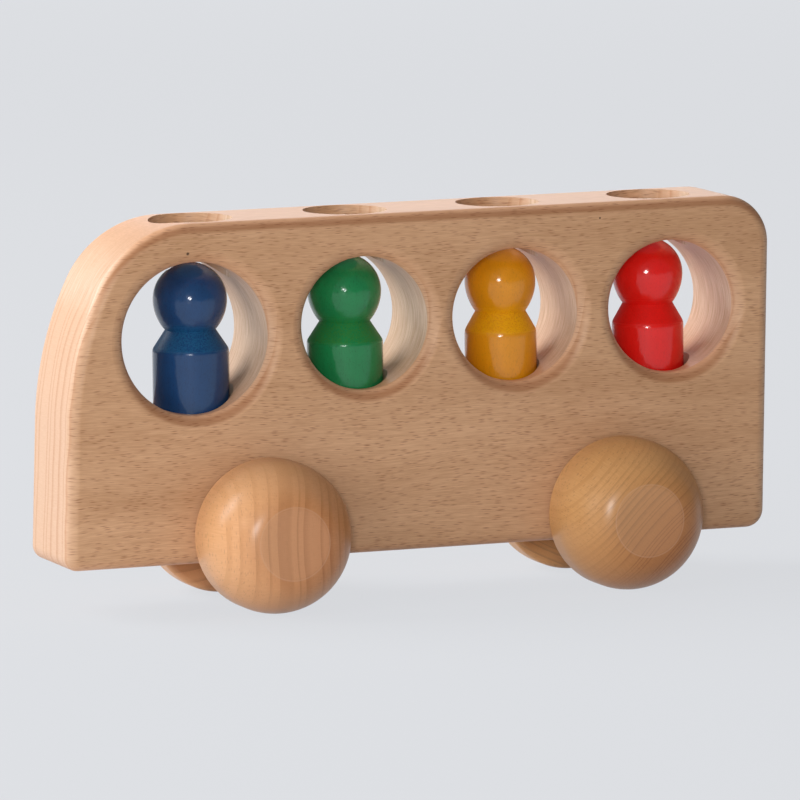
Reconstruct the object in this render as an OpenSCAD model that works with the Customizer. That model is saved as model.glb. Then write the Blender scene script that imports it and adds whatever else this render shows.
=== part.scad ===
// Toy bus: a rounded beech block on two wheelsets, with four peg figures that lift out through the roof.
// +X runs towards the rear end, -Y is the bus's left side, +Z is up.
// The origin lies on the floor under the middle of the bus.

/* [Body] */
// Thickness of the block from side to side
body_thickness = 38.6; // [36:0.2:60]
// Wood above the passenger windows, up to the roof
roof_cover = 13.6; // [10:0.1:24]
// Radius of the round-over along the outer edges
edge_radius = 4; // [1:0.25:4.25]
// Lean of the front end from upright, in degrees
front_lean = 2.1; // [0:0.1:4]
// Radius of the long curve of the windscreen
windscreen_radius = 112; // [90:1:130]
// Radius of the tighter brow that runs into the roof
brow_radius = 35; // [25:1:45]
// Slope from upright at which windscreen and brow meet, in degrees
brow_slope = 26; // [18:1:32]
// Radius of the lower front corner
front_toe_radius = 4.5; // [4.5:0.25:10]
// Lean of the rear end from upright, in degrees
rear_lean = 1.5; // [0:0.1:3]
// Radius of the upper rear corner
rear_crown_radius = 15.7; // [8:0.1:25]
// Radius of the lower rear corner
rear_toe_radius = 6; // [4.5:0.25:12]

/* [Windows] */
// Diameter of the three passenger windows
window_d = 43.4; // [38:0.2:46]
// Height of the passenger windows' centres above the underside
window_height = 74.7; // [70:0.1:78]
// Diameter of the driver's window
driver_window_d = 49.6; // [44:0.2:52]
// How far the driver's window's centre lies below the others'
driver_window_drop = 2; // [0:0.1:5]
// How far the driver's window lies ahead of the driver's seat
driver_window_lead = 4.6; // [0:0.1:7]
// How far the second window lies ahead of its seat
second_window_lead = -0.4; // [-2:0.1:2]
// How far the third window lies ahead of its seat
third_window_lead = 0.5; // [-2:0.1:2]
// How far the fourth window lies ahead of its seat
fourth_window_lead = -0.9; // [-2:0.1:2]
// Width of the wood between two passenger windows
pillar_width = 9.6; // [8:0.1:14]
// Radius of the round-over on the windows' rims
window_rim_radius = 5; // [1:0.1:6]
// Slope at which that round-over meets the window's bore, in degrees from the side face
window_rim_slope = 68; // [45:1:85]

/* [Seats] */
// Distance of the first seat from the front end
first_seat_setback = 49.9; // [46:0.1:54]
// Distance of the last seat from the rear end
last_seat_setback = 35.6; // [33:0.1:50]
// Depth of the seats below the lowest window edge
seat_sink = 12; // [6:0.5:16]
// Room between the widest figure and its roof bore, all round
seat_clearance = 0.8; // [0.4:0.05:1.5]
// Width of the bevel on the roof bores' rims
bore_bevel = 0.6; // [0.2:0.1:1]

/* [Figures] */
// Body diameter of the two front figures
front_figure_d = 24.8; // [20:0.1:26]
// Head diameter of the two front figures
front_head_d = 24; // [19:0.1:25.5]
// Body diameter of the two rear figures
rear_figure_d = 23.6; // [20:0.1:26]
// Head diameter of the two rear figures
rear_head_d = 23.2; // [19:0.1:25.5]
// Height of a figure from base to crown
figure_height = 59.8; // [52:0.1:70]
// Depth of the neck below the widest part of the head
neck_drop = 9.8; // [9:0.1:11]
// Diameter of the neck
neck_d = 16.4; // [12:0.1:18]
// Height of the sloping shoulder below the neck
shoulder_rise = 6.4; // [4:0.1:9]
// Bevel around a figure's base
base_bevel = 0.8; // [0.2:0.1:1.5]

/* [Wheels] */
// Diameter of a wheel
wheel_d = 49.6; // [40:0.2:60]
// Width of a wheel from its flat back to the flat facet on its dome
wheel_width = 28; // [24:0.2:34]
// Width of the straight band around a wheel, behind its dome
band_width = 8.4; // [5:0.2:12]
// Radius of the round-over at the back of that band
wheel_back_radius = 2.2; // [0.5:0.1:3]
// Running gap between a wheel's back and the body
wheel_gap = 0.8; // [0.4:0.1:2]

/* [Axles] */
// Diameter of the axle dowels
axle_d = 8; // [6:0.5:10]
// Radial running clearance of an axle in the body
axle_clearance = 0.3; // [0.1:0.05:0.6]
// Height of the axle centres above the underside
axle_rise = 9; // [8:0.5:14]
// Distance of the front axle from the front end
front_axle_setback = 67.1; // [55:0.1:80]
// Distance of the rear axle from the rear end
rear_axle_setback = 55.3; // [45:0.1:70]
// Depth of the glued axle hole in a wheel
socket_depth = 16; // [8:0.5:20]
// Glue room around an axle's end in its wheel
glue_gap = 0.05; // [0.02:0.01:0.1]

/* [Hidden] */
$fn = 96;

// How far a cut runs past the face that it opens
overrun = 1;
// Number of flats along each outline arc and across the round-over
brow_flats = 16;
windscreen_flats = 8;
crown_flats = 12;
toe_flats = 6;
edge_flats = 6;
// Angle at which a window's round-over runs out into the side face
rim_blend = 6;

// Heights, from the floor
axle_z = wheel_d / 2;
underside_z = axle_z - axle_rise;
roof_z = underside_z + window_height + window_d / 2 + roof_cover;

// Each window leads its seat a little; the first is the driver's
window_leads = [driver_window_lead, second_window_lead, third_window_lead, fourth_window_lead];
window_count = len(window_leads);

// Places along the bus: the block is as long as its windows need
seat_pitch = window_d + pillar_width;
body_length = first_seat_setback + (window_count - 1) * seat_pitch + last_seat_setback;
front_x = -body_length / 2;
rear_x = body_length / 2;
front_axle_x = front_x + front_axle_setback;
rear_axle_x = rear_x - rear_axle_setback;
function seat_x(seat) = front_x + first_seat_setback + seat * seat_pitch;

// Windows
function window_x(seat) = seat_x(seat) - window_leads[seat];
function window_z(seat) = underside_z + window_height - (seat == 0 ? driver_window_drop : 0);
function window_r(seat) = (seat == 0 ? driver_window_d : window_d) / 2;

// The rims' round-overs keep a narrow flat strip between neighbouring windows
land_flat = 0.2;
narrowest_land = min([for (seat = [1 : window_count - 1])
    window_x(seat) - window_r(seat) - window_x(seat - 1) - window_r(seat - 1)]);
rim_reach_share = sin(window_rim_slope) - sin(rim_blend);
rim_radius = min(window_rim_radius, (narrowest_land - land_flat) / 2 / rim_reach_share);

// Seats and their roof bores
lowest_sill_z = min([for (seat = [0 : window_count - 1]) window_z(seat) - window_r(seat)]);
seat_z = lowest_sill_z - seat_sink;
seat_bore_d = max(front_figure_d, front_head_d, rear_figure_d, rear_head_d) + 2 * seat_clearance;

// The figures stand loosely: how far each is ahead of its bore's centre, as a share of its free play
stand_shares = [0.6, 0.6, -0.5, 0.3];

// Axles and the holes that they turn in or are glued into
axle_bore_d = axle_d + 2 * axle_clearance;
socket_d = axle_d + 2 * glue_gap;
wheel_back_y = body_thickness / 2 + wheel_gap;
axle_length = 2 * (wheel_back_y + socket_depth - glue_gap);

// The unit vector in a direction, in degrees
function along(direction) = [cos(direction), sin(direction)];

// The dome's profile is two tangent arcs: a wide one from the band, and a tighter one that the facet cuts.
// Their radii follow the dome's depth, and they meet where the dome slopes at this angle.
dome_depth = wheel_width - band_width;
dome_meet = 45;
side_arc_share = 1.164;
front_arc_share = 0.665;
side_arc_radius = dome_depth * side_arc_share;
front_arc_radius = dome_depth * front_arc_share;
side_arc = [wheel_d / 2 - side_arc_radius, band_width];
front_arc = side_arc + (side_arc_radius - front_arc_radius) * [sin(dome_meet), cos(dome_meet)];
side_arc_rise = side_arc_radius * cos(dome_meet);

// Side outline: arcs joined by the straight underside, front, roof and rear, all tangent.
// Directions are measured in the side view, from +X towards +Z.
front_side = 180 - front_lean;
brow_side = 180 - brow_slope;

front_toe = [front_x + front_toe_radius, underside_z + front_toe_radius];
rear_crown = [rear_x - rear_crown_radius, roof_z - rear_crown_radius];

// The rear end's straight line touches the crown and the lower rear corner
rear_reach = rear_crown * along(-rear_lean) + rear_crown_radius - rear_toe_radius;
rear_toe_z = underside_z + rear_toe_radius;
rear_toe = [(rear_reach + rear_toe_z * sin(rear_lean)) / cos(rear_lean), rear_toe_z];

// The front end's straight line touches the lower front corner and the windscreen,
// and the windscreen runs into the brow, which touches the roof
brow_step = (brow_radius - windscreen_radius) * along(brow_side);
windscreen_z = roof_z - brow_radius + brow_step.y;
front_reach = front_toe * along(front_side) + front_toe_radius - windscreen_radius;
windscreen = [(front_reach - windscreen_z * sin(front_side)) / cos(front_side), windscreen_z];
brow = windscreen - brow_step;

function arc(centre, radius, from, to, flats) =
    [for (step = [0 : flats]) centre + radius * along(from + (to - from) * step / flats)];

function outline(inset) = concat(
    arc(rear_toe, rear_toe_radius - inset, -90, -rear_lean, toe_flats),
    arc(rear_crown, rear_crown_radius - inset, -rear_lean, 90, crown_flats),
    arc(brow, brow_radius - inset, 90, brow_side, brow_flats),
    arc(windscreen, windscreen_radius - inset, brow_side, front_side, windscreen_flats),
    arc(front_toe, front_toe_radius - inset, front_side, 270, toe_flats));

// The plain block: slabs that grow thinner as their outline grows, blended into round edges
module rounded_block() {
    hull()
        for (step = [0 : edge_flats])
            let (turn = 90 * step / edge_flats)
                rotate([90, 0, 0])
                    linear_extrude(body_thickness - 2 * edge_radius * (1 - sin(turn)), center = true)
                        polygon(outline(edge_radius * (1 - cos(turn))));
}

// One window: a bore right through, whose rims are rounded over on both sides and end in a crease at the bore
module window_cut(radius) {
    mouth = body_thickness / 2;
    arc_depth = rim_radius * cos(rim_blend);
    arc_reach = rim_radius * sin(window_rim_slope);
    rim_depth = arc_depth - rim_radius * cos(window_rim_slope);
    rotate([90, 0, 0])
        rotate_extrude()
            union() {
                translate([0, -mouth - overrun])
                    square([radius, body_thickness + 2 * overrun]);
                for (side = [0, 1])
                    mirror([0, side])
                        difference() {
                            translate([0, mouth - rim_depth])
                                square([radius + arc_reach, rim_depth + overrun]);
                            translate([radius + arc_reach, mouth - arc_depth])
                                circle(rim_radius);
                        }
            }
}

// One roof bore, down through the window to the seat, with a bevelled rim
module seat_bore() {
    translate([0, 0, seat_z])
        cylinder(h = roof_z - seat_z + overrun, d = seat_bore_d);
    translate([0, 0, roof_z - bore_bevel])
        cylinder(h = bore_bevel + overrun, d1 = seat_bore_d, d2 = seat_bore_d + 2 * (bore_bevel + overrun));
}

module bus_body() {
    color("#C39A6B")
        difference() {
            rounded_block();
            for (seat = [0 : window_count - 1]) {
                translate([window_x(seat), 0, window_z(seat)])
                    window_cut(window_r(seat));
                translate([seat_x(seat), 0, 0])
                    seat_bore();
            }
            for (x = [front_axle_x, rear_axle_x])
                translate([x, 0, axle_z])
                    rotate([90, 0, 0])
                        cylinder(h = body_thickness + 2 * overrun, d = axle_bore_d, center = true);
        }
}

module axle(x) {
    color("#D8B483")
        translate([x, 0, axle_z])
            rotate([90, 0, 0])
                cylinder(h = axle_length, d = axle_d, center = true);
}

// Half of a wheel's cross-section, from the axle's centre line outwards, with its flat back at 0
module wheel_profile() {
    rim = wheel_d / 2 - wheel_back_radius;
    square([rim, band_width]);
    translate([rim, wheel_back_radius])
        circle(wheel_back_radius);
    translate([0, wheel_back_radius])
        square([wheel_d / 2, band_width - wheel_back_radius]);
    intersection() {
        translate(side_arc)
            circle(side_arc_radius);
        translate([0, band_width])
            square([wheel_d / 2, side_arc_rise]);
    }
    intersection() {
        translate(front_arc)
            circle(front_arc_radius);
        square([wheel_d / 2, wheel_width]);
    }
    square([front_arc.x, wheel_width]);
}

// A domed wheel with its flat back towards the body; side is -1 on the left and 1 on the right
module wheel(x, side) {
    color("#B9854F")
        translate([x, side * wheel_back_y, axle_z])
            rotate([-90 * side, 0, 0])
                difference() {
                    rotate_extrude()
                        union()
                            wheel_profile();
                    translate([0, 0, -overrun])
                        cylinder(h = socket_depth + overrun, d = socket_d);
                }
}

// Half of a figure's cross-section: straight body, sloping shoulder, and a head that runs longer down to the neck
module figure_profile(body_d, head_d) {
    head_z = figure_height - head_d / 2;
    neck_z = head_z - neck_drop;
    jaw_step = (head_d - neck_d) / 2;
    jaw_radius = (neck_drop ^ 2 + jaw_step ^ 2) / 2 / jaw_step;
    polygon([[0, 0], [body_d / 2 - base_bevel, 0], [body_d / 2, base_bevel],
             [body_d / 2, neck_z - shoulder_rise], [neck_d / 2, neck_z], [0, neck_z]]);
    intersection() {
        translate([head_d / 2 - jaw_radius, head_z])
            circle(jaw_radius);
        translate([0, neck_z])
            square([head_d / 2, neck_drop]);
    }
    intersection() {
        translate([0, head_z])
            circle(d = head_d);
        translate([0, head_z])
            square(head_d / 2);
    }
}

// A turned peg figure standing in its seat
module figure(seat, body_d, head_d) {
    free_play = (seat_bore_d - body_d) / 2;
    translate([seat_x(seat) - stand_shares[seat] * free_play, 0, seat_z])
        rotate_extrude()
            union()
                figure_profile(body_d, head_d);
}

module blue_figure() {
    color("#1F4A73")
        figure(0, front_figure_d, front_head_d);
}

module green_figure() {
    color("#3F8F3A")
        figure(1, front_figure_d, front_head_d);
}

module yellow_figure() {
    color("#E3B52C")
        figure(2, rear_figure_d, rear_head_d);
}

module red_figure() {
    color("#B5302A")
        figure(3, rear_figure_d, rear_head_d);
}

bus_body();
axle(front_axle_x);  // front_axle
axle(rear_axle_x);  // rear_axle
wheel(front_axle_x, -1);  // front_left_wheel
wheel(front_axle_x, 1);  // front_right_wheel
wheel(rear_axle_x, -1);  // rear_left_wheel
wheel(rear_axle_x, 1);  // rear_right_wheel
blue_figure();
green_figure();
yellow_figure();
red_figure();
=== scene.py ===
from collections import namedtuple
from math import asin, cos, degrees, pi, radians, sin

import bmesh
import bpy
from mathutils import Matrix, Vector


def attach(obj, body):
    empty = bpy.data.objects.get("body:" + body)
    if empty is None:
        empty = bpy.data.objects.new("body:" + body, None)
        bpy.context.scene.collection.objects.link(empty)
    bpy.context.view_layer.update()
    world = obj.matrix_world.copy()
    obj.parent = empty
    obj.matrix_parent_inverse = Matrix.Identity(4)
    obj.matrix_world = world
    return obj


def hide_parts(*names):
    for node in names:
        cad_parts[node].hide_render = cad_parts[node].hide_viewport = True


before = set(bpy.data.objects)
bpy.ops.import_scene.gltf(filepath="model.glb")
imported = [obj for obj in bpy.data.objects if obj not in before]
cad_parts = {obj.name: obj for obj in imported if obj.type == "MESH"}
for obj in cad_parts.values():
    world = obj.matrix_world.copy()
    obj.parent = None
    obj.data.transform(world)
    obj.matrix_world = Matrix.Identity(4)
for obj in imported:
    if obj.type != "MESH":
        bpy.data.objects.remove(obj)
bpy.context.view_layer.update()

# Sizes are in millimetres, as in the part's source; meshes are brought to metres when they are finished.
MM = 0.001
HALF = 19.3
UNDERSIDE, ROOF = 15.8, 125.8
FRONT, REAR = -122.25, 122.25
EDGE = 4.0
# Each window's X, Z and radius
WINDOWS = [(-76.95, 88.5, 24.8), (-18.95, 90.5, 21.7), (33.15, 90.5, 21.7), (87.55, 90.5, 21.7)]
RIM_RADIUS, RIM_SLOPE, RIM_BLEND, RIM_RUN = 5.0, 68, 4, 0.6
SEATS = [-72.35, -19.35, 33.65, 86.65]
SEAT_Z, BORE_R, BORE_NECK = 51.7, 13.2, 13.0
BORE_WORN_ALONG, BORE_WORN_ACROSS = 0.3, 1.5
AXLE_Z, AXLE_XS, AXLE_BORE_R = 24.8, (-55.15, 66.95), 4.3
WHEEL_R, WHEEL_WIDTH, WHEEL_BACK, BAND = 24.8, 28.0, 20.1, 8.4
WHEEL_BACK_ROUND, FACET_ROUND = 2.2, 0.5
SOCKET_R, SOCKET_DEPTH = 4.05, 16.0
FIGURE_HEIGHT, NECK_R, NECK_DROP, SHOULDER_RISE, FOOT = 59.8, 8.2, 9.8, 6.4, 0.8

# Steps to a full turn of each round shape, and the angles in degrees above which an edge stays crisp
WINDOW_STEPS, SEAT_STEPS, AXLE_STEPS, WHEEL_STEPS, FIGURE_STEPS = 112, 80, 32, 144, 96
BODY_CREASE, TURNED_CREASE = 18, 30
# How far a cutter stands out past the block, and how near points are merged or count as one place
CUT_PAST, MERGE, NEAR = 2.0, 0.001, 0.01


# Drawing profiles: a pen of vertices in the XZ plane
def pen(bm, x, z):
    """Starts a profile with one vertex."""
    return bm.verts.new((x, 0, z))


def line_to(bm, last, x, z):
    """Extrudes the profile's last vertex to a new place."""
    new = bmesh.ops.extrude_vert_indiv(bm, verts=[last])["verts"][0]
    new.co = (x, 0, z)
    return new


def lines_to(bm, last, places):
    """Runs the profile on through several places."""
    for x, z in places:
        last = line_to(bm, last, x, z)
    return last


def arc_to(bm, last, x, z, turn, steps):
    """Spins the profile's last vertex about a centre, by degrees from +X towards +Z."""
    spun = bmesh.ops.spin(bm, geom=[last], cent=(x, 0, z), axis=(0, -1, 0), angle=radians(turn), steps=steps)
    return next(v for v in spun["geom_last"] if isinstance(v, bmesh.types.BMVert))


def lathe(bm, steps):
    """Turns a profile once around Z into a closed shell."""
    bmesh.ops.spin(bm, geom=bm.verts[:] + bm.edges[:], cent=(0, 0, 0), axis=(0, 0, 1),
                   angle=2 * pi, steps=steps, use_merge=True)
    bmesh.ops.remove_doubles(bm, verts=bm.verts[:], dist=MERGE)
    bmesh.ops.recalc_face_normals(bm, faces=bm.faces[:])


def lay_across(bm, side, place):
    """Lays a turned shape across the bus, its top towards a side (-1 or 1), and moves it to its place."""
    bmesh.ops.rotate(bm, verts=bm.verts[:], matrix=Matrix.Rotation(-side * pi / 2, 3, "X"))
    bmesh.ops.translate(bm, verts=bm.verts[:], vec=place)


def round_ring(bm, radius, height, offset, segments):
    """Rounds the turned edge at a radius and height."""
    on_ring = {v for v in bm.verts
               if abs(v.co.xy.length - radius) < NEAR and abs(v.co.z - height) < NEAR}
    ring = [e for e in bm.edges if e.verts[0] in on_ring and e.verts[1] in on_ring]
    bmesh.ops.bevel(bm, geom=ring, offset=offset, segments=segments, profile=0.5, affect="EDGES",
                    clamp_overlap=True, material=-1)


def make_piece(bm, name):
    """Turns a bmesh in millimetres into a mesh object in metres."""
    bmesh.ops.scale(bm, vec=(MM, MM, MM), verts=bm.verts[:])
    mesh = bpy.data.meshes.new(name)
    bm.to_mesh(mesh)
    bm.free()
    piece = bpy.data.objects.new(name, mesh)
    bpy.context.scene.collection.objects.link(piece)
    return piece


def smooth(piece, angle):
    """Smooth shading, with edges steeper than an angle left crisp and flat faces kept flat."""
    piece.data.shade_smooth()
    piece.data.set_sharp_from_angle(angle=radians(angle))
    weighted = piece.modifiers.new("flat faces", "WEIGHTED_NORMAL")
    weighted.keep_sharp = True
    weighted.weight = 50


# Body block
def block():
    """The plain block: its side outline of tangent arcs, drawn out to its thickness, with rounded edges."""
    front_lean, brow_slope, rear_lean = 2.1, 26, 1.5
    windscreen_r, brow_r, toe_r, crown_r, heel_r = 112.0, 35.0, 4.5, 15.7, 6.0
    edge_segments = 9

    def along(angle):
        return Vector((cos(radians(angle)), sin(radians(angle))))

    front_side, brow_side = 180 - front_lean, 180 - brow_slope
    toe = Vector((FRONT + toe_r, UNDERSIDE + toe_r))
    crown = Vector((REAR - crown_r, ROOF - crown_r))
    # The heel's arc shares the line of the rear end with the crown's arc
    reach = crown.dot(along(-rear_lean)) + crown_r - heel_r
    heel_z = UNDERSIDE + heel_r
    heel = Vector(((reach + heel_z * sin(radians(rear_lean))) / cos(radians(rear_lean)), heel_z))
    # The windscreen's arc touches the brow's arc and shares the line of the front end with the toe's arc
    step = (brow_r - windscreen_r) * along(brow_side)
    screen_z = ROOF - brow_r + step.y
    reach = toe.dot(along(front_side)) + toe_r - windscreen_r
    screen = Vector(((reach - screen_z * sin(radians(front_side))) / cos(radians(front_side)), screen_z))
    brow = screen - step

    bm = bmesh.new()
    first = last = pen(bm, heel.x, UNDERSIDE)
    for centre, radius, start, stop, steps in (
            (heel, heel_r, -90, -rear_lean, 10), (crown, crown_r, -rear_lean, 90, 24),
            (brow, brow_r, 90, brow_side, 24), (screen, windscreen_r, brow_side, front_side, 20),
            (toe, toe_r, front_side, 270, 10)):
        begin = centre + radius * along(start)
        if (begin - last.co.xz).length > NEAR:
            last = line_to(bm, last, begin.x, begin.y)
        last = arc_to(bm, last, centre.x, centre.y, stop - start, steps)
    bm.edges.new((last, first))
    bmesh.ops.edgeloop_fill(bm, edges=bm.edges[:])
    bmesh.ops.translate(bm, verts=bm.verts[:], vec=(0, -HALF, 0))
    grown = bmesh.ops.extrude_face_region(bm, geom=bm.faces[:], use_keep_orig=True)
    bmesh.ops.translate(bm, verts=[v for v in grown["geom"] if isinstance(v, bmesh.types.BMVert)],
                        vec=(0, 2 * HALF, 0))
    bmesh.ops.recalc_face_normals(bm, faces=bm.faces[:])
    outline = [e for e in bm.edges if any(len(f.verts) > 4 for f in e.link_faces)]
    bmesh.ops.bevel(bm, geom=outline, offset=EDGE, segments=edge_segments, profile=0.5, affect="EDGES",
                    clamp_overlap=False, material=-1)
    return bm


def window_cutter(x, z, radius):
    """A bore right through, with a rounded mouth on both sides that meets the bore in a crease."""
    bm = bmesh.new()
    slope, blend, rim_steps = radians(RIM_SLOPE), radians(RIM_BLEND), 10
    arc_x = radius + RIM_RADIUS * sin(slope)
    arc_z = HALF - RIM_RADIUS * cos(blend)
    last = pen(bm, radius, 0)
    last = line_to(bm, last, radius, arc_z + RIM_RADIUS * cos(slope))
    last = arc_to(bm, last, arc_x, arc_z, RIM_BLEND - RIM_SLOPE, rim_steps)
    mouth_x, mouth_z = last.co.x + RIM_RUN * cos(blend), last.co.z + RIM_RUN * sin(blend)
    lines_to(bm, last, ((mouth_x, mouth_z), (mouth_x, HALF + CUT_PAST), (0, HALF + CUT_PAST)))
    bmesh.ops.mirror(bm, geom=bm.verts[:] + bm.edges[:], matrix=Matrix(), merge_dist=MERGE, axis="Z")
    lathe(bm, WINDOW_STEPS)
    lay_across(bm, -1, (x, 0, z))
    return bm


def seat_cutter(x):
    """A roof bore down to its seat, worn a little wider towards its crisp rim, most of all across the bus."""
    bm = bmesh.new()
    rim = BORE_R + BORE_WORN_ALONG
    lines_to(bm, pen(bm, 0, SEAT_Z), ((BORE_R, SEAT_Z), (BORE_R, ROOF - BORE_NECK), (rim, ROOF),
                                      (rim, ROOF + CUT_PAST), (0, ROOF + CUT_PAST)))
    lathe(bm, SEAT_STEPS)
    bmesh.ops.scale(bm, vec=(1, (BORE_R + BORE_WORN_ACROSS) / rim, 1),
                    verts=[v for v in bm.verts if v.co.z > ROOF - BORE_NECK / 2])
    bmesh.ops.translate(bm, verts=bm.verts[:], vec=(x, 0, 0))
    return bm


def axle_cutter(x):
    """An axle's bore through the block."""
    bm = bmesh.new()
    end = HALF + CUT_PAST
    lines_to(bm, pen(bm, 0, -end), ((AXLE_BORE_R, -end), (AXLE_BORE_R, end), (0, end)))
    lathe(bm, AXLE_STEPS)
    lay_across(bm, -1, (x, 0, AXLE_Z))
    return bm


def carve_body():
    """The block with its windows, roof bores and axle bores cut out."""
    body = make_piece(block(), "body_block")
    cutters = [window_cutter(*w) for w in WINDOWS] + [seat_cutter(x) for x in SEATS]
    cutters += [axle_cutter(x) for x in AXLE_XS]
    cutters = [make_piece(bm, "cutter") for bm in cutters]
    for cutter in cutters:
        cut = body.modifiers.new("cut", "BOOLEAN")
        cut.object = cutter
        cut.operation = "DIFFERENCE"
        cut.solver = "EXACT"
    carved = bpy.data.meshes.new_from_object(body.evaluated_get(bpy.context.evaluated_depsgraph_get()))
    body.modifiers.clear()
    plain, body.data = body.data, carved
    bpy.data.meshes.remove(plain)
    for cutter in cutters:
        bpy.data.meshes.remove(cutter.data)
    smooth(body, BODY_CREASE)
    return body


# Wheels
def turn_wheel(name, x, side):
    """A turned wheel: flat back with a blind axle hole, straight band, dome of two arcs, flat facet."""
    wide_share, tight_share, meet = 1.164, 0.625, 45
    wide_steps, tight_steps, back_segments, facet_segments = 16, 12, 6, 2
    depth = WHEEL_WIDTH - BAND
    wide, tight = wide_share * depth, tight_share * depth
    wide_x = WHEEL_R - wide
    tight_x = wide_x + (wide - tight) * sin(radians(meet))
    tight_z = BAND + (wide - tight) * cos(radians(meet))
    facet_angle = degrees(asin((WHEEL_WIDTH - tight_z) / tight))
    bm = bmesh.new()
    last = lines_to(bm, pen(bm, 0, SOCKET_DEPTH), ((SOCKET_R, SOCKET_DEPTH), (SOCKET_R, 0),
                                                   (WHEEL_R, 0), (WHEEL_R, BAND)))
    last = arc_to(bm, last, wide_x, BAND, 90 - meet, wide_steps)
    last = arc_to(bm, last, tight_x, tight_z, facet_angle - (90 - meet), tight_steps)
    facet_r = last.co.x
    line_to(bm, last, 0, WHEEL_WIDTH)
    lathe(bm, WHEEL_STEPS)
    round_ring(bm, WHEEL_R, 0, WHEEL_BACK_ROUND, back_segments)
    round_ring(bm, facet_r, WHEEL_WIDTH, FACET_ROUND, facet_segments)
    lay_across(bm, side, (x, side * WHEEL_BACK, AXLE_Z))
    wheel = make_piece(bm, name)
    smooth(wheel, TURNED_CREASE)
    return wheel


# Figures
def turn_figure(name, x, body_r, head_r, shoulder_round):
    """A turned peg figure: straight body, sloping shoulder, sharp neck, and a head that is longer below."""
    jaw_steps, crown_steps, shoulder_segments = 16, 24, 5
    head_z = FIGURE_HEIGHT - head_r
    neck_z = head_z - NECK_DROP
    shoulder = neck_z - SHOULDER_RISE
    jaw_r = (NECK_DROP ** 2 + (head_r - NECK_R) ** 2) / 2 / (head_r - NECK_R)
    bm = bmesh.new()
    last = lines_to(bm, pen(bm, 0, 0), ((body_r - FOOT, 0), (body_r, FOOT),
                                        (body_r, shoulder), (NECK_R, neck_z)))
    last = arc_to(bm, last, head_r - jaw_r, head_z, degrees(asin(NECK_DROP / jaw_r)), jaw_steps)
    arc_to(bm, last, 0, head_z, 90, crown_steps)
    lathe(bm, FIGURE_STEPS)
    round_ring(bm, body_r, shoulder, shoulder_round, shoulder_segments)
    bmesh.ops.translate(bm, verts=bm.verts[:], vec=(x, 0, SEAT_Z))
    figure = make_piece(bm, name)
    smooth(figure, TURNED_CREASE)
    return figure


# Materials
def linear(code):
    """An sRGB hex colour as linear RGBA."""
    parts = [int(code[i:i + 2], 16) / 255 for i in (1, 3, 5)]
    return [c / 12.92 if c <= 0.04045 else ((c + 0.055) / 1.055) ** 2.4 for c in parts] + [1.0]


def add(tree, kind, inputs, **settings):
    """Adds a node with its settings, and sets or links its inputs by name or number. An input is given as a
    value, as an output, or as a node, which stands for its first output that is in use."""
    made = tree.nodes.new("ShaderNode" + kind)
    for name, value in settings.items():
        setattr(made, name, value)
    for key, value in inputs.items():
        if isinstance(value, bpy.types.Node):
            value = next(output for output in value.outputs if output.enabled)
        if isinstance(value, bpy.types.NodeSocket):
            tree.links.new(value, made.inputs[key])
        else:
            made.inputs[key].default_value = value
    return made


def new_material(name):
    """A new material and its empty node tree."""
    material = bpy.data.materials.new(name)
    material.use_nodes = True
    material.node_tree.nodes.clear()
    return material, material.node_tree


# Settings of Math: input 0 times input 1, plus input 2, kept between 0 and 1
SCALED = {"operation": "MULTIPLY_ADD", "use_clamp": True}
# Settings of Map Range: a soft step up to input 4, as input 0 goes from input 1 up or down to input 2
SOFT_STEP = {"interpolation_type": "SMOOTHSTEP"}
# Settings of Mix: by input 0, from the colour of input 6 to that of input 7
BLEND = {"data_type": "RGBA"}


# Patterns in wood
def wood_axes(tree, centre, turn, waver):
    """Places in the wood in millimetres: X along the grain, Y out from the heart, Z along the rings.
    They come straight, and with a waver of a few millimetres over the length of a piece."""
    drift_sizes, middle = (70, 45, 30), (0.5, 0.5, 0.5)
    place = add(tree, "TexCoord", {}).outputs["Object"]
    straight = add(tree, "Mapping", {
        "Vector": place, "Location": [c * MM for c in centre], "Rotation": turn.to_euler(),
        "Scale": (MM, MM, MM)}, vector_type="TEXTURE")
    slow = add(tree, "VectorMath", {0: straight, 1: [1 / s for s in drift_sizes]}, operation="MULTIPLY")
    drift = add(tree, "TexNoise", {"Vector": slow, "Scale": 1, "Detail": 1}).outputs["Color"]
    drift = add(tree, "VectorMath", {0: drift, 1: middle}, operation="SUBTRACT")
    drift = add(tree, "VectorMath", {0: drift, 1: (0, 2 * waver, 2 * waver)}, operation="MULTIPLY")
    return straight, add(tree, "VectorMath", {0: straight, 1: drift}, operation="ADD")


def grain(tree, wood, sizes, detail=2):
    """Streaks or patches whose sizes are in millimetres along the wood's three axes."""
    cells = add(tree, "VectorMath", {0: wood, 1: [1 / s for s in sizes]}, operation="MULTIPLY")
    return add(tree, "TexNoise", {"Vector": cells, "Scale": 1, "Detail": detail})


def year_rings(tree, wood, ring, heart):
    """Growth rings about a heart that lies off the piece: each year ends in a thin darker line."""
    uneven_scale, uneven_share, line_start, line_end = 0.45, 2.2, 0.55, 0.97
    parts = add(tree, "SeparateXYZ", {0: wood}).outputs
    out = add(tree, "Math", {0: parts["Y"], 1: heart}, operation="ADD")
    across = add(tree, "CombineXYZ", {"X": out, "Y": parts["Z"]})
    age = add(tree, "VectorMath", {0: across}, operation="LENGTH")
    years = add(tree, "Math", {0: age, 1: 1 / ring}, operation="MULTIPLY")
    uneven = add(tree, "TexNoise", {"W": years, "Scale": uneven_scale, "Detail": 1}, noise_dimensions="1D")
    years = add(tree, "Math", {0: uneven, 1: uneven_share, 2: years}, operation="MULTIPLY_ADD")
    year = add(tree, "Math", {0: years}, operation="FRACT")
    return add(tree, "MapRange", {0: year, 1: line_start, 2: line_end}, **SOFT_STEP)


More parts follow.
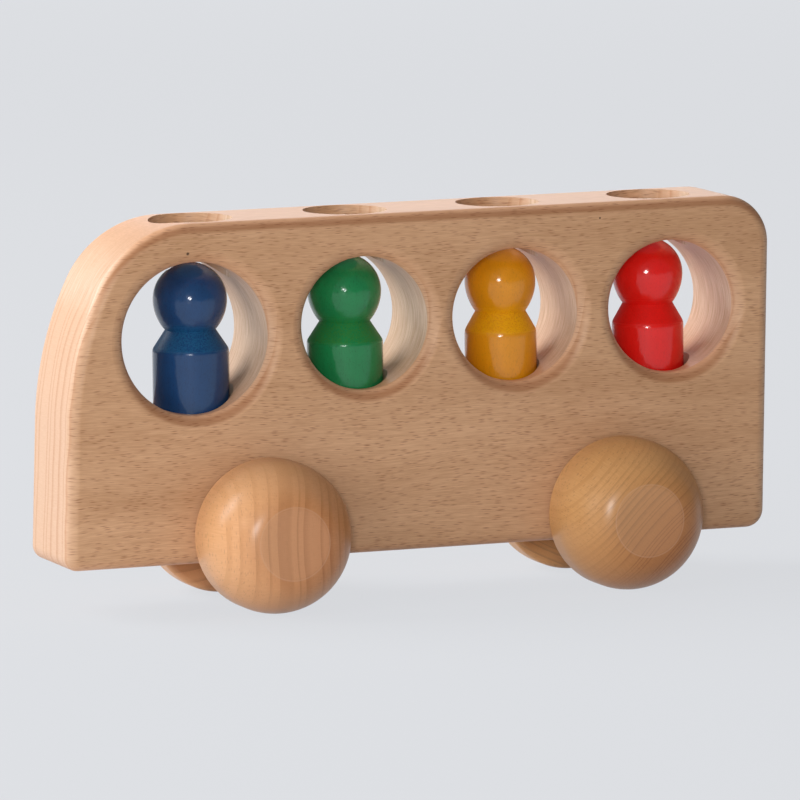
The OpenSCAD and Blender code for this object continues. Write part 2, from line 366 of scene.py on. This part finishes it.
def ray_dashes(tree, wood, spacing):
    """Short dark dashes where the rays of the wood are cut, one to a cell of these sizes in millimetres."""
    randomness, outer, core = 0.85, 0.38, 0.05
    cells = add(tree, "VectorMath", {0: wood, 1: [1 / s for s in spacing]}, operation="MULTIPLY")
    away = add(tree, "TexVoronoi", {"Vector": cells, "Scale": 1, "Randomness": randomness})
    return add(tree, "MapRange", {0: away, 1: outer, 2: core}, **SOFT_STEP)


# Looks of oiled beech

# Pale and mid are for its plain faces, deep for rays, silver for quarter faces, end and end_line for cut ends
Shades = namedtuple("Shades", "pale mid deep silver end end_line")
# Places straight and with waver, the way the surface faces, and how far it is a cut end or a bark side
Timber = namedtuple("Timber", "straight wood facing cut_end bark_side")


def find_timber(tree, centre, turn, waver):
    """Where a point of the surface lies in its wood."""
    straight, wood = wood_axes(tree, centre, turn, waver)
    facing = add(tree, "TexCoord", {}).outputs["Normal"]
    along = add(tree, "VectorMath", {0: facing, 1: turn.col[0]}, operation="DOT_PRODUCT")
    cut_end = add(tree, "Math", {0: along, 1: along}, operation="MULTIPLY")
    outward = add(tree, "VectorMath", {0: facing, 1: turn.col[1]}, operation="DOT_PRODUCT")
    bark_side = add(tree, "Math", {0: outward, 1: outward}, operation="MULTIPLY")
    return Timber(straight, wood, facing, cut_end, bark_side)


def plain_wood(tree, at, shades, fibre, late, side_rings, end_rings):
    """Fine fibres, faint rings and broad lighter and darker stretches on faces, clearer rings on cut ends."""
    fibre_share, broad_share, broad_sizes = 1.3, 1.4, (120, 26, 20)
    end_fibre, end_start, quarter_share = 0.5, -0.1, 0.5
    rings = add(tree, "Math", {0: late, 1: side_rings}, operation="MULTIPLY")
    depth = add(tree, "Math", {0: fibre, 1: fibre_share, 2: rings}, **SCALED)
    broad = grain(tree, at.wood, broad_sizes)
    tone = add(tree, "Math", {0: broad, 1: broad_share, 2: -broad_share / 2}, operation="MULTIPLY_ADD")
    depth = add(tree, "Math", {0: depth, 1: tone}, operation="ADD", use_clamp=True)
    face = add(tree, "Mix", {0: depth, 6: linear(shades.pale), 7: linear(shades.mid)}, **BLEND)
    end_depth = add(tree, "Math", {0: fibre, 1: end_fibre, 2: end_start}, **SCALED)
    end_depth = add(tree, "Math", {0: late, 1: end_rings, 2: end_depth}, **SCALED)
    end = add(tree, "Mix", {0: end_depth, 6: linear(shades.end), 7: linear(shades.end_line)}, **BLEND)
    colour = add(tree, "Mix", {0: at.cut_end, 6: face, 7: end}, **BLEND)
    others = add(tree, "Math", {0: at.cut_end, 1: at.bark_side}, operation="ADD")
    quarter = add(tree, "Math", {0: others, 1: -quarter_share, 2: quarter_share}, operation="MULTIPLY_ADD")
    return add(tree, "Mix", {0: quarter, 6: colour, 7: linear(shades.silver)}, **BLEND)


def sap_to_heart(tree, at, colour, sapwood, heartwood):
    """Wood that goes from paler sapwood to darker heartwood across a piece."""
    reach, share = 22, 0.3
    out = add(tree, "SeparateXYZ", {0: at.wood}).outputs["Y"]
    outer = add(tree, "MapRange", {0: out, 1: -reach, 2: reach}, **SOFT_STEP)
    blended = add(tree, "Mix", {0: outer, 6: linear(heartwood), 7: linear(sapwood)}, **BLEND)
    return add(tree, "Mix", {0: share, 6: colour, 7: blended}, **BLEND)


def painted_shade_on_upper_edges(tree, at, colour, share):
    """Painted shade: rounded edges that face up are drawn darker and redder, as less light falls on them."""
    curve_start, curve_end, flat_start, flat_end = 0.25, 0.65, 0.9, 0.999
    up_start, up_end = 0.1, 0.42
    curved = add(tree, "MapRange", {0: at.bark_side, 1: curve_start, 2: curve_end}, **SOFT_STEP)
    flat = add(tree, "MapRange", {0: at.bark_side, 1: flat_start, 2: flat_end}, **SOFT_STEP)
    rounded = add(tree, "Math", {0: curved, 1: flat}, operation="SUBTRACT")
    upward = add(tree, "SeparateXYZ", {0: at.facing}).outputs["Z"]
    upward = add(tree, "MapRange", {0: upward, 1: up_start, 2: up_end}, **SOFT_STEP)
    edge = add(tree, "Math", {0: rounded, 1: upward}, operation="MULTIPLY")
    # How much painted shade each point of an upper rounded edge gets
    darkened = add(tree, "Math", {0: edge, 1: share}, operation="MULTIPLY")
    return add(tree, "Mix", {0: darkened, 6: colour, 7: linear("#8A4A22")}, **BLEND)


def drilled_walls(tree, at, colour, reach):
    """Cut ends within a reach of the middle are walls of bores: paler, with fine lines left by the drill."""
    share, margin, line_sizes, line_detail = 0.7, 2, (9, 0.55, 9), 3
    upright_start, upright_end, line_start, line_end = 0.12, 0.03, 0.3, 0.7
    along = add(tree, "SeparateXYZ", {0: at.straight}).outputs["X"]
    out = add(tree, "Math", {0: along}, operation="ABSOLUTE")
    inside = add(tree, "MapRange", {0: out, 1: reach + margin, 2: reach - margin}, **SOFT_STEP)
    upright = add(tree, "MapRange", {0: at.bark_side, 1: upright_start, 2: upright_end}, **SOFT_STEP)
    wall = add(tree, "Math", {0: at.cut_end, 1: inside}, operation="MULTIPLY")
    wall = add(tree, "Math", {0: wall, 1: upright}, operation="MULTIPLY")
    shown = add(tree, "Math", {0: wall, 1: share}, operation="MULTIPLY")
    lines = grain(tree, at.wood, line_sizes, line_detail)
    lines = add(tree, "MapRange", {0: lines, 1: line_start, 2: line_end}, **SOFT_STEP)
    scraped = add(tree, "Mix", {0: lines, 6: linear("#B39478"), 7: linear("#D8C2AC")}, **BLEND)
    return add(tree, "Mix", {0: shown, 6: colour, 7: scraped}, **BLEND)


def knot_specks(tree, at, colour, knots):
    """Small dark specks, each with a place in the wood and a size."""
    core, share = 0.4, 0.9
    for *place, size in knots:
        away = add(tree, "VectorMath", {0: at.straight, 1: place}, operation="DISTANCE")
        speck = add(tree, "MapRange", {0: away, 1: size, 2: core * size, 4: share}, **SOFT_STEP)
        colour = add(tree, "Mix", {0: speck, 6: colour, 7: linear("#3A2416")}, **BLEND)
    return colour


def worn_facet(tree, at, colour, rough, height):
    """The flat facet of a turned wheel: hazier and duller than the dome, with a pale ring at its edge that is
    partly wear and partly painted highlight.
    """
    haze, dull, edge_share = 0.2, 0.12, 0.4
    flat_start, flat_end, edge_start, edge_end = (height - below for below in (0.09, 0.03, 0.2, 0.1))
    along = add(tree, "SeparateXYZ", {0: at.straight}).outputs["X"]
    out = add(tree, "Math", {0: along}, operation="ABSOLUTE")
    flat = add(tree, "MapRange", {0: out, 1: flat_start, 2: flat_end}, **SOFT_STEP)
    # A pale ring along the facet's edge: partly wear, partly painted highlight
    edge = add(tree, "MapRange", {0: out, 1: edge_start, 2: edge_end, 4: edge_share}, **SOFT_STEP)
    worn = add(tree, "Math", {0: edge, 1: flat}, operation="SUBTRACT", use_clamp=True)
    hazy = add(tree, "Math", {0: flat, 1: haze, 2: worn}, **SCALED)
    colour = add(tree, "Mix", {0: hazy, 6: colour, 7: linear("#CFA382")}, **BLEND)
    return colour, add(tree, "Math", {0: flat, 1: dull, 2: rough}, **SCALED)


def beech(name, shades, centre=(0, 0, 0), turn=Matrix.Identity(3), waver=3.0, ring=5.2, heart=160,
          ray=(4.4, 10, 0.52), side_rings=0.12, end_rings=0.5, ray_share=0.58, end_rays=0.04,
          roughness=0.42, specular=0.3, coat=0.0, upper_edge_shade=0.0, bored=0, sap=(), knots=(), facet=0):
    """Oiled beech: pale pinkish brown with short dark rays along the grain, faint growth rings, clearer on
    cut ends, and a satin sheen. A look that only some pieces have is left out where its value is empty."""
    # Fibres are finer in life, and are drawn as coarse as they need to show
    fibre_sizes = (6, 2.5, 0.3)
    ray_start, ray_end, ray_roughness, relief_depth = 0.0, 0.4, 0.15, 0.05
    material, tree = new_material(name)
    at = find_timber(tree, centre, turn, waver)
    late = year_rings(tree, at.wood, ring, heart)
    fibre = grain(tree, at.wood, fibre_sizes)
    colour = plain_wood(tree, at, shades, fibre, late, side_rings, end_rings)
    if sap:
        colour = sap_to_heart(tree, at, colour, *sap)
    # Painted shade on the rounded edges that face up
    if upper_edge_shade:
        colour = painted_shade_on_upper_edges(tree, at, colour, upper_edge_shade)
    if bored:
        colour = drilled_walls(tree, at, colour, bored)
    shown = add(tree, "MapRange", {0: at.bark_side, 1: ray_start, 2: ray_end}, **SOFT_STEP)
    shown = add(tree, "Math", {0: shown, 1: ray_share, 2: end_rays}, **SCALED)
    dash = add(tree, "Math", {0: ray_dashes(tree, at.wood, ray), 1: shown}, operation="MULTIPLY")
    colour = add(tree, "Mix", {0: dash, 6: colour, 7: linear(shades.deep)}, **BLEND)
    colour = knot_specks(tree, at, colour, knots)
    rough = add(tree, "Math", {0: dash, 1: ray_roughness, 2: roughness}, **SCALED)
    if facet:
        colour, rough = worn_facet(tree, at, colour, rough, facet)
    relief = add(tree, "Math", {0: fibre, 1: dash}, operation="SUBTRACT")
    bump = add(tree, "Bump", {"Height": relief, "Strength": 0.25, "Distance": relief_depth * MM})
    shader = add(tree, "BsdfPrincipled", {
        "Base Color": colour, "Roughness": rough, "IOR": 1.46, "Specular IOR Level": specular, "Normal": bump,
        "Coat Weight": coat, "Coat Roughness": 0.3, "Coat IOR": 1.9})
    add(tree, "OutputMaterial", {"Surface": shader})
    return material


# Stained beech
def stained_beech(name, stain, darkened, slope, centre, shoulder, neck):
    """Turned beech under a strong coloured stain and gloss lacquer: even colour with faint darker streaks and
    pores, and a slightly rippled mirror of the floor and lamps on top. The sloping shoulder, cut across the
    grain, soaks the lacquer up and stays matt."""
    # Pores and raised fibres are finer in life, and are drawn as coarse as they need to show
    pore_sizes, fuzz_sizes = (0.9, 0.5, 0.35), (0.5, 0.5, 0.5)
    streak_sizes, patch_sizes, ripple_sizes = (14, 1.3, 0.9), (9, 7, 7), (0.9, 0.9, 0.9)
    waver, streak_share, patch_share, slope_share, ripple_depth = 1.0, 0.5, 0.7, 0.6, 0.05
    pore_start, pore_end, pore_share, fuzz_start, fuzz_end = 0.56, 0.70, 0.3, 0.4, 0.65
    shoulder_blend, neck_before, neck_after = 0.6, 0.5, 4
    matt_gloss, clear_roughness, extra_roughness = 0.3, 0.12, 0.3
    material, tree = new_material(name)
    straight, wood = wood_axes(tree, centre, Matrix.Rotation(-pi / 2, 3, "Y"), waver)
    pores = grain(tree, wood, pore_sizes, 1)
    pores = add(tree, "MapRange", {0: pores, 1: pore_start, 2: pore_end, 4: pore_share}, **SOFT_STEP)
    streak = grain(tree, wood, streak_sizes)
    depth = add(tree, "Math", {0: streak, 1: streak_share, 2: -streak_share / 2}, **SCALED)
    depth = add(tree, "Math", {0: grain(tree, wood, patch_sizes), 1: patch_share, 2: depth}, **SCALED)
    depth = add(tree, "Math", {0: depth, 1: pores}, operation="ADD", use_clamp=True)
    shade = add(tree, "Mix", {0: depth, 6: linear(stain), 7: linear(darkened)}, **BLEND)

    height = add(tree, "SeparateXYZ", {0: straight}).outputs["X"]
    past_shoulder = add(tree, "MapRange", {
        0: height, 1: shoulder - shoulder_blend, 2: shoulder + shoulder_blend}, **SOFT_STEP)
    past_neck = add(tree, "MapRange", {0: height, 1: neck - neck_before, 2: neck + neck_after}, **SOFT_STEP)
    matt = add(tree, "Math", {0: past_shoulder, 1: past_neck}, operation="SUBTRACT", use_clamp=True)
    fuzz = grain(tree, wood, fuzz_sizes)
    fuzz = add(tree, "MapRange", {0: fuzz, 1: fuzz_start, 2: fuzz_end}, **SOFT_STEP)
    dull = add(tree, "Mix", {0: fuzz, 6: linear(slope), 7: shade}, **BLEND)
    shown = add(tree, "Math", {0: matt, 1: slope_share}, operation="MULTIPLY")
    shade = add(tree, "Mix", {0: shown, 6: shade, 7: dull}, **BLEND)
    gloss = add(tree, "MapRange", {0: matt, 3: 1.0, 4: matt_gloss})
    rough = add(tree, "Math", {0: matt, 1: extra_roughness, 2: clear_roughness}, **SCALED)
    peel = grain(tree, wood, ripple_sizes, 1)
    bump = add(tree, "Bump", {"Height": peel, "Strength": 1.0, "Distance": ripple_depth * MM})
    shader = add(tree, "BsdfPrincipled", {
        "Base Color": shade, "Roughness": 0.5, "Specular IOR Level": 0.1, "Normal": bump,
        "Coat Weight": gloss, "Coat Roughness": rough, "Coat IOR": 1.5, "Coat Normal": bump})
    add(tree, "OutputMaterial", {"Surface": shader})
    return material


# The pieces, on their bodies
def dress(piece, material, body, node):
    """Gives a finished piece its material, ties it to its body, and hides the CAD node it stands for."""
    piece.data.materials.clear()
    piece.data.materials.append(material)
    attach(piece, body)
    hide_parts(node)


# Oiled beech: a plain block with straight rings, two specks on its near side, and painted shade on its upper
# rounded edges
BLOCK_SHADES = Shades("#DEB18B", "#BA8D67", "#7C4627", "#E5AB87", "#C6A58B", "#AB7A58")
oiled_beech = beech("oiled beech block", BLOCK_SHADES, heart=1500, upper_edge_shade=0.46, bored=112,
                    knots=((-79.9, -HALF, 116.3, 0.75), (62.0, -HALF, 120.9, 0.45)))
dress(carve_body(), oiled_beech, "bus", "bus_body")

# Turned oiled beech: its grain runs along the axle, so rings cross the facet, with a soft satin coat
WHEEL_MIDDLE, FAR_TURN = 30, -110
TURNED = dict(waver=1.2, heart=70, ray=(1.4, 0.5, 3.4), side_rings=0.5, end_rings=0.75, ray_share=0.16,
              end_rays=0.14, specular=0.1, coat=0.36, facet=WHEEL_BACK + WHEEL_WIDTH - WHEEL_MIDDLE)
for end, x, lean, ring, shades, sap in (
        ("front", AXLE_XS[0], 0, 4.2,
         Shades("#E5B286", "#CC9360", "#7E5330", "#DFAB7F", "#CC8B59", "#A66432"), ("#EDB886", "#A05E2C")),
        ("rear", AXLE_XS[1], 46, 1.9,
         Shades("#D89F6B", "#BE7D45", "#74492A", "#D0945B", "#C27E45", "#945224"), ("#EAC386", "#864A1A"))):
    for hand, side in (("left", -1), ("right", 1)):
        name = f"{end}_{hand}_wheel"
        spun = radians(lean if side < 0 else lean + FAR_TURN)
        turn = Matrix.Rotation(spun, 3, "Y") @ Matrix.Rotation(pi / 2, 3, "Z")
        centre = (x, side * WHEEL_MIDDLE, AXLE_Z)
        turned_beech = beech(f"turned oiled beech {end} {hand}", shades, centre, turn,
                             ring=ring, sap=sap, **TURNED)
        dress(turn_wheel(f"{name}_turned", x, side), turned_beech, f"{end}_wheelset", name)

# Raw beech: the dry, dull dowels of the axles, shown by their CAD nodes
DOWEL_SHADES = Shades("#DDBB91", "#C9A273", "#8E6440", "#DDBB91", "#D8B88E", "#B98A69")
dowel_beech = beech("raw beech dowel", DOWEL_SHADES, turn=Matrix.Rotation(pi / 2, 3, "Z"), roughness=0.6)
for node in ("front_axle", "rear_axle"):
    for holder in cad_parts[node].material_slots:
        holder.material = dowel_beech

# Stained beech: the four figures, a little off the middle of their bores
for colour, x, body_r, head_r, shoulder_round, stain, darkened, slope in (
        ("blue", -72.83, 12.4, 12.0, 0.8, "#134476", "#0B2E54", "#1C5E84"),
        ("green", -19.83, 12.4, 12.0, 0.8, "#158E4F", "#0D6537", "#3C7A2A"),
        ("yellow", 34.35, 11.8, 11.6, 1.2, "#F09B08", "#C98104", "#F2B404"),
        ("red", 86.23, 11.8, 11.6, 1.0, "#F8160F", "#DC110B", "#E0180E")):
    neck = FIGURE_HEIGHT - head_r - NECK_DROP
    lacquered = stained_beech(f"{colour} stained beech", stain, darkened, slope, (x, 0, SEAT_Z),
                              neck - SHOULDER_RISE, neck)
    dress(turn_figure(f"{colour}_peg", x, body_r, head_r, shoulder_round), lacquered,
          f"{colour}_figure", f"{colour}_figure")


# Floor, world and lights: places and sizes from here on are in metres
def seen(tree):
    """1 for rays from the camera and for mirrored or transmitted rays, otherwise 0."""
    path = add(tree, "LightPath", {}).outputs
    direct = add(tree, "Math", {0: path["Is Camera Ray"], 1: path["Is Glossy Ray"]}, operation="ADD")
    return add(tree, "Math", {0: direct, 1: path["Is Transmission Ray"]}, operation="ADD", use_clamp=True)


# Matt pale paper: even grey to the eye, with the object's shadow on it
FLOOR_HALF, EVEN_SHARE = 12, 0.9
paper, tree = new_material("matt paper floor")
matt = add(tree, "BsdfDiffuse", {"Color": linear("#D6D8DC")})
even = add(tree, "Emission", {"Color": linear("#DEE0E4")})
share = add(tree, "Math", {0: seen(tree), 1: EVEN_SHARE}, operation="MULTIPLY")
mixed = add(tree, "MixShader", {0: share, 1: matt, 2: even})
add(tree, "OutputMaterial", {"Surface": mixed})

bm = bmesh.new()
bmesh.ops.create_grid(bm, x_segments=1, y_segments=1, size=FLOOR_HALF / MM)
floor = make_piece(bm, "floor")
floor.data.materials.append(paper)

world = bpy.data.worlds.new("studio")
bpy.context.scene.world = world
world.use_nodes = True
tree = world.node_tree
tree.nodes.clear()
soft = add(tree, "Background", {"Color": linear("#FFFFFF"), "Strength": 0.2})
add(tree, "OutputWorld", {"Surface": soft})

# Lamps: place, size and power, and whether glossy surfaces mirror them
LAMP_AIM = Vector((0, 0, 0.07))
for name, place, size, power, glossy in (
        ("window behind the bus's front", (-1.5, 1.02, 1.15), 1.7, 58, True),
        ("soft panel at the front left", (-1.4, -1.4, 0.9), 0.9, 3.5, False),
        ("low panel on the left", (-1.2, -0.45, 0.45), 0.7, 6.2, False),
        ("pale wall behind the roof", (0.95, 2.6, 0.75), 1.4, 9.5, True),
        ("small lamp beside the camera", (-1.02, -2.45, 0.50), 0.45, 20, True)):
    lamp = bpy.data.lights.new(name, "AREA")
    lamp.shape = "DISK"
    lamp.size = size
    lamp.energy = power
    holder = bpy.data.objects.new(name, lamp)
    holder.location = place
    holder.visible_glossy = glossy
    holder.rotation_euler = (Vector(place) - LAMP_AIM).to_track_quat("Z", "Y").to_euler()
    bpy.context.scene.collection.objects.link(holder)

# Camera: a long lens, a little above the bus, from its front left
CAMERA_PLACE = (-0.9972, -2.6603, 0.4280)
azimuth, elevation, roll = radians(20.53), radians(7.33), radians(-0.71)
ahead = Vector((sin(azimuth) * cos(elevation), cos(azimuth) * cos(elevation), -sin(elevation)))
right = Vector((cos(azimuth), -sin(azimuth), 0))
up = right.cross(ahead)
right, up = cos(roll) * right + sin(roll) * up, -sin(roll) * right + cos(roll) * up
camera = bpy.data.objects.new("camera", bpy.data.cameras.new("camera"))
camera.data.lens = 396
camera.data.sensor_width = 36
camera.data.clip_end = 60
turn = Matrix((right, up, -ahead)).transposed().to_4x4()
camera.matrix_world = Matrix.Translation(CAMERA_PLACE) @ turn
bpy.context.scene.collection.objects.link(camera)
bpy.context.scene.camera = camera

bpy.context.scene.view_settings.view_transform = "Standard"
